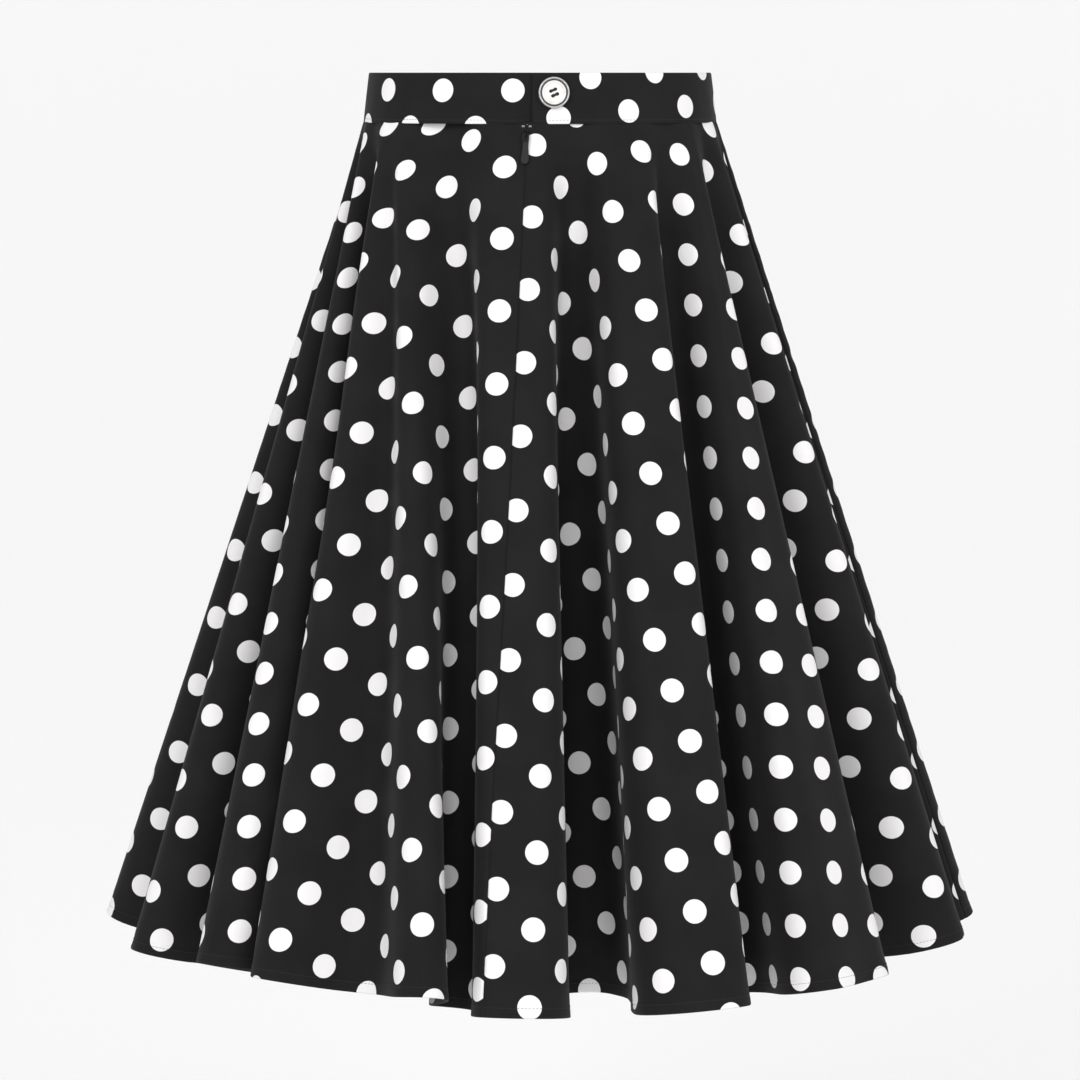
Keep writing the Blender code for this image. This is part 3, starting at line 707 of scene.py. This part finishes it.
def rounded_block(low, high, round_by):
    """Points and faces of a block with rounded edges."""
    shape = bmesh.new()
    bmesh.ops.create_cube(shape, size=1.0)
    low, high = Vector(low), Vector(high)
    place = Matrix.Translation((low + high) / 2) @ Matrix.Diagonal((*(high - low), 1))
    bmesh.ops.transform(shape, matrix=place, verts=shape.verts)
    bmesh.ops.bevel(
        shape, geom=shape.edges[:], offset=round_by, segments=3, profile=0.5, affect="EDGES"
    )
    shape.verts.index_update()
    points = [corner.co.copy() for corner in shape.verts]
    faces = [tuple(corner.index for corner in face.verts) for face in shape.faces]
    shape.free()
    return points, faces


slider_paint, tree, shader = new_finish("painted_zip_metal", 0.35, 0.15)
scuffs = noise(tree, 900, 4)
tree.links.new(
    blend_colours(tree, ramp(tree, scuffs, 0.5, 0.8), (0.003, 0.003, 0.0033), (0.009, 0.009, 0.009)),
    shader.inputs["Base Color"],
)
rough = node_math(tree, "ADD", node_math(tree, "MULTIPLY", scuffs, 0.1), 0.30)
tree.links.new(rough, shader.inputs["Roughness"])

slider_place = cloth_frame(0.0, SLIDER_DROP)
ring_turns = 2 * np.pi * np.arange(28) / 28
ring_points = [(0.0, RING_CENTRE[0] + RING_RADIUS * np.cos(t), RING_CENTRE[1] + RING_RADIUS * np.sin(t))
               for t in ring_turns]
slider_points, slider_faces = join_pieces([
    rounded_block(
        (-SLIDER_HALF_WIDTH, SLIDER_BACK, -SLIDER_HALF_HEIGHT),
        (SLIDER_HALF_WIDTH, SLIDER_BACK + SLIDER_DEPTH, SLIDER_HALF_HEIGHT),
        0.0009,
    ),
    rounded_block(
        (-WEB_HALF_WIDTH, PLATE_FACES[0] / 2, -WEB_HALF_HEIGHT),
        (WEB_HALF_WIDTH, SLIDER_BACK + SLIDER_DEPTH / 2, WEB_HALF_HEIGHT),
        0.0002,
    ),
    rounded_block(
        (-PLATE_HALF_WIDTH, PLATE_FACES[0], -WEB_HALF_HEIGHT),
        (PLATE_HALF_WIDTH, PLATE_FACES[1], WEB_HALF_HEIGHT),
        0.0004,
    ),
    tube(ring_points, RING_WIRE, 10, closed=True),
])
slider_points = [slider_place @ Vector(point) for point in slider_points]
piece_of(
    "slider_body", slider_points, slider_faces, slider_paint, "garment", "lacquered_metal",
    "zip_slider",
)


def smooth_loop(corners, steps):
    """A closed line through the corners, rounded between them."""
    corners = np.array(corners)
    before, after, beyond = (np.roll(corners, -shift, axis=0) for shift in (-1, 1, 2))
    line = []
    for share in np.arange(steps) / steps:
        line.append(0.5 * (
            2 * corners + (after - before) * share
            + (2 * before - 5 * corners + 4 * after - beyond) * share**2
            + (3 * corners - before - 3 * after + beyond) * share**3
        ))
    return np.stack(line, axis=1).reshape(-1, corners.shape[1])


def flat_plate(loops, wall, bevel):
    """Mesh of a plate cut to closed lines, the later ones holes in the first, its edges rounded."""
    outline = bpy.data.curves.new("plate_outline", "CURVE")
    outline.dimensions = "2D"
    outline.fill_mode = "BOTH"
    outline.extrude = wall / 2 - bevel
    outline.bevel_depth = bevel
    outline.bevel_resolution = 4
    outline.offset = -bevel
    for loop in loops:
        spline = outline.splines.new("POLY")
        spline.points.add(len(loop) - 1)
        spline.points.foreach_set("co", np.pad(loop, ((0, 0), (0, 2))).ravel())
        spline.use_cyclic_u = True
    holder = bpy.data.objects.new("plate_outline", outline)
    bpy.context.scene.collection.objects.link(holder)
    shown = holder.evaluated_get(bpy.context.evaluated_depsgraph_get())
    mesh = bpy.data.meshes.new_from_object(shown)
    points = [corner.co.copy() for corner in mesh.vertices]
    faces = [tuple(face.vertices) for face in mesh.polygons]
    bpy.data.objects.remove(holder)
    return points, faces


right_side = [(half, -below) for below, half in PULL_OUTLINE]
left_side = [(-half, -below) for below, half in reversed(PULL_OUTLINE)]
top, bottom, half = PULL_WINDOW
window = [(half, -top), (half, -bottom), (-half, -bottom), (-half, -top)]
pull_place = slider_place @ Matrix.Translation((0, *PULL_PIVOT))
pull_place = pull_place @ Matrix.Rotation(np.radians(PULL_TILT), 4, "X")
upright = Matrix.Rotation(np.pi / 2, 4, "X")
outline = smooth_loop(right_side + left_side, 4)
pull_points, pull_faces = flat_plate([outline, window], PULL_WALL, PULL_BEVEL)
pull_points = [pull_place @ upright @ point for point in pull_points]
piece_of(
    "pull_tab", pull_points, pull_faces, slider_paint, "pull", "lacquered_metal", "zip_pull",
    smooth=False,
)

# Two bar tacks of pale thread hold the tops of the tapes under the waistband.
TACKS = [(-0.0026, 0.0012), (0.0026, 0.0012)]
TACK_HALF_WIDTH = 0.0011
TACK_PITCH = 0.00035
TACK_WIRE = 0.00019
pale_thread = speckled("pale_thread", 0.8, 0.2, 1800, 2, (0.16, 0.16, 0.165), (0.30, 0.30, 0.31))
tacks = []
for arc, drop in TACKS:
    for turn in range(4):
        ends = []
        for share in np.linspace(-1, 1, 5):
            angle = np.degrees((arc + TACK_HALF_WIDTH * share) / (CUT_RADIUS + drop))
            here = cloth_frame(angle, drop + TACK_PITCH * turn)
            ends.append(here @ Vector((0, -0.0004 - 0.0003 * np.cos(share * np.pi / 2), 0)))
        tacks.append(tube(ends, TACK_WIRE, 6))
piece_of("zip_tacks", *join_pieces(tacks), pale_thread, "garment", "zip_tape")


# The waistband is one straight-grain strip of the same cotton, stiffened and folded along its
# top edge. It is sewn to the skirt on all its length, edge-stitched close above that seam, and
# its right end laps over the left one, which goes on behind it.
BAND_TOP_HALF_WIDTH = 0.1320
BAND_TOP_HALF_DEPTH = 0.0905
BAND_HEIGHT = 0.038
BAND_WALL = 0.0025
SEAM_GAP = 0.0003
OVERLAP_END = -0.0060
UNDERLAP = 0.036
UNDERLAP_DIP = 0.014
LAP_CLEARANCE = 0.0008
BAND_STEP = 0.0022
BAND_STITCH_UP = 0.0030
BAND_STITCH_PLACE = 4
BAND_PUFF = 0.0003

# How the strip was cut from the printed cloth: places along the waist, how far along the rows
# of dots they are, and the height of one row of dots there.
BAND_CUT = np.array([
    (-0.0060, -0.0184, 0.0033),
    (0.0145, 0.0000, 0.0052),
    (0.0685, 0.0551, 0.0103),
    (0.1205, 0.1102, 0.0135),
    (0.2000, 0.1866, 0.0150),
    (0.5000, 0.4807, 0.0020),
    (0.5996, 0.5783, -0.0021),
    (0.6538, 0.6334, -0.0021),
    (0.7095, 0.6885, -0.0021),
    (0.7590, 0.7364, -0.0021),
]).T


def band_points(arcs, heights, insets):
    """Points of the waistband, at distances along the waist seam, up it and inwards."""
    turn = waist_turn(np.mod(arcs, WAIST_LENGTH))
    share = heights / BAND_HEIGHT
    wide = WAIST_HALF_WIDTH + share * (BAND_TOP_HALF_WIDTH - WAIST_HALF_WIDTH)
    deep = WAIST_HALF_DEPTH + share * (BAND_TOP_HALF_DEPTH - WAIST_HALF_DEPTH)
    inwards = np.stack([-deep * np.sin(turn), wide * np.cos(turn)], axis=-1)
    inwards /= np.linalg.norm(inwards, axis=-1, keepdims=True)
    plan = np.stack([wide * np.sin(turn), -deep * np.cos(turn)], axis=-1) + inwards * insets[..., None]
    return np.concatenate([plan, heights[..., None]], axis=-1)


def lap_inset(arcs):
    """How far the band's left end has sunk behind its right one."""
    lap_start = OVERLAP_END + WAIST_LENGTH
    share = np.clip((arcs - lap_start + UNDERLAP_DIP) / (UNDERLAP_DIP - LAP_CLEARANCE), 0, 1)
    return (BAND_WALL + SEAM_GAP) * share * share * (3 - 2 * share)


def band_section():
    """The folded strip's section: insets and heights from its seam, over the fold and down inside."""
    bottom, top = SEAM_GAP / 2, BAND_HEIGHT
    half = BAND_WALL / 2
    outer = [(0.0009, bottom), (0.0003, bottom + 0.0003), (0.0, bottom + 0.0010), (0.0, 0.0021)]
    outer += [(0.00028, BAND_STITCH_UP), (0.0, 0.0039)]
    outer += [(0.0, height) for height in np.linspace(0.0060, top - half - 0.0020, 12)]
    fold = [
        (half - half * np.cos(turn), top - half + half * np.sin(turn))
        for turn in np.linspace(0, np.pi, 9)
    ]
    inner = [(BAND_WALL - inset, height) for inset, height in reversed(outer)]
    return np.array(outer + fold + inner).T


def waistband_mesh():
    """The strip, closed at both ends, with its own straight grain as its UV map."""
    insets, heights = band_section()
    arcs = np.arange(OVERLAP_END, OVERLAP_END + WAIST_LENGTH + UNDERLAP, BAND_STEP)
    ends = [0.0, 0.0003, 0.0008, 0.0014]
    arcs = np.concatenate([
        OVERLAP_END + np.array(ends), arcs[(arcs > OVERLAP_END + 0.002) & (arcs < arcs[-1] - 0.002)],
        OVERLAP_END + WAIST_LENGTH + UNDERLAP - np.array(ends[::-1]),
    ])
    arc_grid, height_grid = np.meshgrid(arcs, heights, indexing="ij")
    inset_grid = np.broadcast_to(insets, arc_grid.shape).copy()
    near_end = np.minimum(arcs - arcs[0], arcs[-1] - arcs)
    pinch = 0.0010 * np.clip(1 - near_end / 0.0014, 0, 1)[:, None] ** 2
    middle = BAND_WALL / 2
    inset_grid += np.sign(middle - inset_grid) * np.minimum(pinch, np.abs(middle - inset_grid))
    crown = np.sin(np.pi * np.clip(height_grid / BAND_HEIGHT, 0, 1)) ** 0.5
    drawn = 0.5 + 0.5 * np.sin(2 * np.pi * arc_grid / 0.019 + 1.7 * np.sin(arc_grid / 0.052))
    on_face = np.clip(1 - insets / 0.0004, 0, 1)[None, :]
    inset_grid += on_face * BAND_PUFF * (1 - crown * (0.5 + 0.5 * drawn))
    points = band_points(arc_grid, height_grid, inset_grid + lap_inset(arc_grid))

    steps = np.hypot(np.diff(insets), np.diff(heights))
    round_strip = np.concatenate([[0.0], np.cumsum(steps)]) + SEAM_GAP / 2
    row_height = np.mean([
        np.interp(arcs + shift, BAND_CUT[0], BAND_CUT[2]) for shift in np.linspace(-0.02, 0.02, 9)
    ], axis=0)
    slope = np.gradient(row_height, arcs)
    up = round_strip[None, :] - row_height[:, None]
    along = np.interp(arcs, BAND_CUT[0], BAND_CUT[1])[:, None] + up * slope[:, None]

    rows, columns = points.shape[:2]
    corners = np.arange(rows * columns).reshape(rows, columns)
    after = np.roll(corners, -1, axis=1)
    faces = np.stack([corners[:-1], corners[1:], after[1:], after[:-1]], axis=-1).reshape(-1, 4).tolist()
    faces += [corners[0].tolist(), corners[-1, ::-1].tolist()]
    rows_of_stitches["band_stitching"] = [(points[:, BAND_STITCH_PLACE], None)]
    mesh = bpy.data.meshes.new("waistband_strip")
    mesh.from_pydata(points.reshape(-1, 3).tolist(), [], faces)
    corner_points = np.empty(len(mesh.loops), dtype=np.int64)
    mesh.loops.foreach_get("vertex_index", corner_points)
    places = np.stack([along, up], axis=-1).reshape(-1, 2)
    layer = mesh.uv_layers.new(name="flat_cloth")
    layer.data.foreach_set("uv", places[corner_points].astype(np.float32).ravel())
    mesh.shade_smooth()
    return mesh


waistband = bpy.data.objects.new("waistband_strip", waistband_mesh())
bpy.context.scene.collection.objects.link(waistband)
waistband.data.materials.append(skirt_print)
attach(waistband, "garment")
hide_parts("waistband")


# The sewing that shows is lockstitch in black thread: one row round the turned-up hem and one
# close above the waist seam, to be seen where it crosses the white dots.
STITCH_PITCH = 0.0027
STITCH_LENGTH = 0.0022
STITCH_WIRE = 0.00021
STITCH_SINK = 0.00008
STITCH_SIDES = 6


def stitches(line, normals):
    """Lockstitches along a line of points on the cloth."""
    if normals is None:
        ahead = np.gradient(line, axis=0)
        normals = np.cross(ahead, np.array([0.0, 0.0, 1.0]))
    normals = normals / np.linalg.norm(normals, axis=1, keepdims=True)
    lengths = np.concatenate([[0.0], np.cumsum(np.linalg.norm(np.diff(line, axis=0), axis=1))])
    turns = 2 * np.pi * np.arange(STITCH_SIDES) / STITCH_SIDES
    sections = [
        (-0.5, 0.25, -1.1), (-0.36, 0.9, 0.0), (0.0, 1.0, 0.45), (0.36, 0.9, 0.0), (0.5, 0.25, -1.1),
    ]
    made = []
    for middle in np.arange(STITCH_PITCH, lengths[-1] - STITCH_PITCH / 2, STITCH_PITCH):
        places = middle + STITCH_LENGTH * np.array([section[0] for section in sections])
        centres = np.stack([np.interp(places, lengths, line[:, axis]) for axis in range(3)], axis=-1)
        out = np.array([np.interp(middle, lengths, normals[:, axis]) for axis in range(3)])
        out /= np.linalg.norm(out)
        ahead = centres[-1] - centres[0]
        ahead /= np.linalg.norm(ahead)
        side = np.cross(ahead, out)
        points = []
        for centre, (_, size, rise) in zip(centres, sections):
            centre = centre + out * (rise * STITCH_WIRE * 0.6 - STITCH_SINK)
            points.append(centre + size * STITCH_WIRE * (
                np.cos(turns)[:, None] * side + np.sin(turns)[:, None] * out
            ))
        faces = []
        for ring in range(len(sections) - 1):
            for step in range(STITCH_SIDES):
                after = (step + 1) % STITCH_SIDES
                here, there = ring * STITCH_SIDES, (ring + 1) * STITCH_SIDES
                faces.append((here + step, here + after, there + after, there + step))
        last = (len(sections) - 1) * STITCH_SIDES
        faces += [tuple(range(STITCH_SIDES))[::-1], tuple(last + step for step in range(STITCH_SIDES))]
        made.append((np.concatenate(points), faces))
    return made


black_thread = speckled(
    "black_thread", 0.65, 0.35, 2500, 2, (0.009, 0.009, 0.0095), (0.020, 0.0195, 0.020)
)
for name, lines in rows_of_stitches.items():
    made = [stitch for line, normals in lines for stitch in stitches(line, normals)]
    piece_of(name, *join_pieces(made), black_thread, "garment", "dotted_cotton")


# The button is a turned disc of cream resin set in a black ring and a grey rim, with four
# holes. It is sewn on the right end of the waistband with two bars of black thread.
BUTTON_ARC = 0.0106
BUTTON_HEIGHT = 0.0232
BUTTON_STAND = 0.0004
BUTTON_STEPS = 96
BUTTON_PROFILE = [
    (0.0, 0.00175), (0.0020, 0.00172), (0.0040, 0.00165), (0.0058, 0.00160), (0.0070, 0.00178),
    (0.0078, 0.0023), (0.0083, 0.0026), (0.0087, 0.0026), (0.0089, 0.0024), (0.0090, 0.0020),
    (0.0091, 0.00175), (0.0096, 0.00165), (0.0100, 0.00175), (0.01015, 0.0022), (0.0103, 0.0028),
    (0.0106, 0.0032), (0.0110, 0.0032), (0.0114, 0.0028), (0.01165, 0.0021), (0.0116, 0.0013),
    (0.0111, 0.0006), (0.0100, 0.0001), (0.0085, 0.0), (0.0, 0.0),
]
CREAM_EDGE = 0.0090
RING_EDGE = 0.0100
HOLE_RADIUS = 0.00125
HOLE_SPREAD = 0.0027
HOLE_TURN = 68.0
THREAD_WIRE = 0.00052

cream, tree, shader = new_finish("cream_resin", 0.28, 0.5)
shader.inputs["Coat Weight"].default_value = 0.3
shader.inputs["Coat Roughness"].default_value = 0.2
cloud = noise(tree, 260, 5)
tree.links.new(
    blend_colours(tree, ramp(tree, cloud, 0.35, 0.7), (0.54, 0.525, 0.49), (0.64, 0.63, 0.605)),
    shader.inputs["Base Color"],
)
rough = node_math(tree, "ADD", node_math(tree, "MULTIPLY", cloud, 0.2), 0.2)
tree.links.new(rough, shader.inputs["Roughness"])
ring_black = speckled(
    "button_ring_black", 0.3, 0.5, 900, 3, (0.008, 0.008, 0.008), (0.02, 0.02, 0.02)
)
rim_grey, tree, shader = new_finish("button_rim_grey", 0.32, 0.5)
shader.inputs["Metallic"].default_value = 0.6
cloud = ramp(tree, noise(tree, 600, 4), 0.3, 0.7)
tree.links.new(
    blend_colours(tree, cloud, (0.34, 0.335, 0.33), (0.50, 0.49, 0.48)),
    shader.inputs["Base Color"],
)

middle = np.array([BUTTON_ARC - 0.001, BUTTON_ARC, BUTTON_ARC + 0.001])
left, centre, right = band_points(middle, np.full(3, BUTTON_HEIGHT), np.zeros(3))
low, high = band_points(
    np.full(2, BUTTON_ARC), BUTTON_HEIGHT + np.array([-0.001, 0.001]), np.zeros(2)
)
across = Vector(right - left).normalized()
outwards = across.cross(Vector(high - low)).normalized()
button_axes = Matrix((across, outwards.cross(across), outwards)).transposed().to_4x4()
button_place = Matrix.Translation(Vector(centre) + BUTTON_STAND * outwards) @ button_axes

shape = bmesh.new()
profile = [shape.verts.new((radius, 0, height)) for radius, height in BUTTON_PROFILE]
edges = [shape.edges.new(pair) for pair in zip(profile, profile[1:])]
bmesh.ops.spin(
    shape, geom=profile + edges, cent=(0, 0, 0), axis=(0, 0, 1), angle=2 * np.pi,
    steps=BUTTON_STEPS, use_merge=True,
)
bmesh.ops.remove_doubles(shape, verts=shape.verts[:], dist=1e-6)
bmesh.ops.recalc_face_normals(shape, faces=shape.faces[:])
for face in shape.faces:
    away = face.calc_center_median().xy.length
    upper = face.calc_center_median().z > 0.0012
    face.material_index = 0 if away < CREAM_EDGE and upper else 1 if away < RING_EDGE and upper else 2
    face.smooth = True
button_mesh = bpy.data.meshes.new("four_hole_button")
shape.to_mesh(button_mesh)
shape.free()
for finish in (cream, ring_black, rim_grey):
    button_mesh.materials.append(finish)
button = bpy.data.objects.new("four_hole_button", button_mesh)
bpy.context.scene.collection.objects.link(button)
drills = bmesh.new()
hole_places = []
for hole in range(4):
    turn = np.radians(HOLE_TURN) + hole * np.pi / 2
    hole_places.append(Vector((HOLE_SPREAD * np.cos(turn), HOLE_SPREAD * np.sin(turn), 0)))
    bmesh.ops.create_cone(
        drills, cap_ends=True, segments=24, radius1=HOLE_RADIUS, radius2=HOLE_RADIUS, depth=0.01,
        matrix=Matrix.Translation(hole_places[-1]),
    )
drill_mesh = bpy.data.meshes.new("button_drills")
drills.to_mesh(drill_mesh)
drills.free()
drill = bpy.data.objects.new("button_drills", drill_mesh)
bpy.context.scene.collection.objects.link(drill)
cut = button.modifiers.new("drilled", "BOOLEAN")
cut.operation = "DIFFERENCE"
cut.solver = "EXACT"
cut.object = drill
bpy.context.view_layer.update()
drilled = bpy.data.meshes.new_from_object(button.evaluated_get(bpy.context.evaluated_depsgraph_get()))
button.modifiers.clear()
button.data = drilled
bpy.data.objects.remove(drill)

# The cut's points and faces come in another order each run, so they are put in a fixed one.
points = np.array([vertex.co for vertex in drilled.vertices])
order = np.lexsort(np.round(points, 7).T)
place_of = np.argsort(order)
cut_faces = []
for face in drilled.polygons:
    corners = [int(place_of[corner]) for corner in face.vertices]
    first = corners.index(min(corners))
    cut_faces.append((corners[first:] + corners[:first], face.material_index, face.use_smooth))
cut_faces.sort()
drilled.clear_geometry()
drilled.from_pydata(points[order].tolist(), [], [corners for corners, _, _ in cut_faces])
for face, (_, finish, smooth) in zip(drilled.polygons, cut_faces):
    face.material_index = finish
    face.use_smooth = smooth
drilled.transform(button_place)
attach(button, "garment")
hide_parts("button")

bars = []
for first, second in ((0, 1), (2, 3)):
    start, end = hole_places[first], hole_places[second]
    for side in (-0.5, 0.5):
        sideways = (end - start).normalized().cross(Vector((0, 0, 1))) * (side * THREAD_WIRE * 1.6)
        line = []
        for share in np.linspace(0, 1, 15):
            along = start.lerp(end, 0.5 - 0.5 * np.cos(np.pi * share)) + sideways
            height = 0.0004 + (0.0020 - 0.0004) * min(1.0, 3.2 * np.sin(np.pi * share))
            line.append(button_place @ Vector((along.x, along.y, height)))
        bars.append(tube(line, THREAD_WIRE, 8))
piece_of("button_thread", *join_pieces(bars), black_thread, "garment", "button_resin")


# The stage is a pale studio sweep, a floor that rises all round into a wall, lit by a white
# surround and three soft panels. The camera stands level with the waistband, behind the skirt.
SWEEP_PROFILE = [
    (0.0, -1.05), (2.2, -1.05), (3.2, -0.98), (4.1, -0.72),
    (4.9, -0.2), (5.4, 0.6), (5.6, 1.6), (5.6, 4.2),
]
SWEEP_STEPS = 96
PANEL_AIM = Vector((0, 0, -0.3))
CAMERA_PLACE = Vector((0.0, -2.5, 0.038))
CAMERA_AIM = Vector((0.0, 0.0, -0.326))
sweep = bpy.data.meshes.new("studio_sweep")
points = [(0.0, 0.0, SWEEP_PROFILE[0][1])]
faces = []
for radius, height in SWEEP_PROFILE[1:]:
    for step in range(SWEEP_STEPS):
        turn = 2 * np.pi * step / SWEEP_STEPS
        points.append((radius * np.cos(turn), radius * np.sin(turn), height))
for step in range(SWEEP_STEPS):
    after = (step + 1) % SWEEP_STEPS
    faces.append((0, 1 + step, 1 + after))
    for ring in range(len(SWEEP_PROFILE) - 2):
        low = 1 + ring * SWEEP_STEPS
        high = low + SWEEP_STEPS
        faces.append((low + step, high + step, high + after, low + after))
sweep.from_pydata(points, [], faces)
sweep.shade_smooth()
floor = bpy.data.objects.new("studio_sweep", sweep)
bpy.context.scene.collection.objects.link(floor)
backdrop, tree, shader = new_finish("studio_white", 0.9, 0.1)
shader.inputs["Base Color"].default_value = (0.50, 0.50, 0.50, 1.0)
shader.inputs["Emission Color"].default_value = (1.0, 1.0, 1.0, 1.0)
shader.inputs["Emission Strength"].default_value = 0.465
sweep.materials.append(backdrop)

world = bpy.data.worlds.new("studio")
bpy.context.scene.world = world
world.use_nodes = True
world.node_tree.nodes["Background"].inputs["Color"].default_value = (1.0, 1.0, 1.0, 1.0)
world.node_tree.nodes["Background"].inputs["Strength"].default_value = 0.68
LIGHTS = [((-1.5, -2.5, 1.5), 42, 1.2), ((1.8, -2.2, 1.2), 26, 1.2), ((0.1, -3.4, 0.1), 30, 1.6)]
for place, watts, size in LIGHTS:
    lamp = bpy.data.lights.new("soft_panel", "AREA")
    lamp.energy = watts
    lamp.size = size
    light = bpy.data.objects.new("soft_panel", lamp)
    light.location = place
    light.rotation_euler = (PANEL_AIM - Vector(place)).to_track_quat("-Z", "Y").to_euler()
    bpy.context.scene.collection.objects.link(light)

camera = bpy.data.objects.new("camera", bpy.data.cameras.new("camera"))
camera.data.lens = 107
camera.data.sensor_width = 36
camera.location = CAMERA_PLACE
camera.rotation_euler = (CAMERA_AIM - CAMERA_PLACE).to_track_quat("-Z", "Y").to_euler()
bpy.context.scene.collection.objects.link(camera)
bpy.context.scene.camera = camera
bpy.context.scene.view_settings.view_transform = "Standard"

bpy.context.view_layer.update()
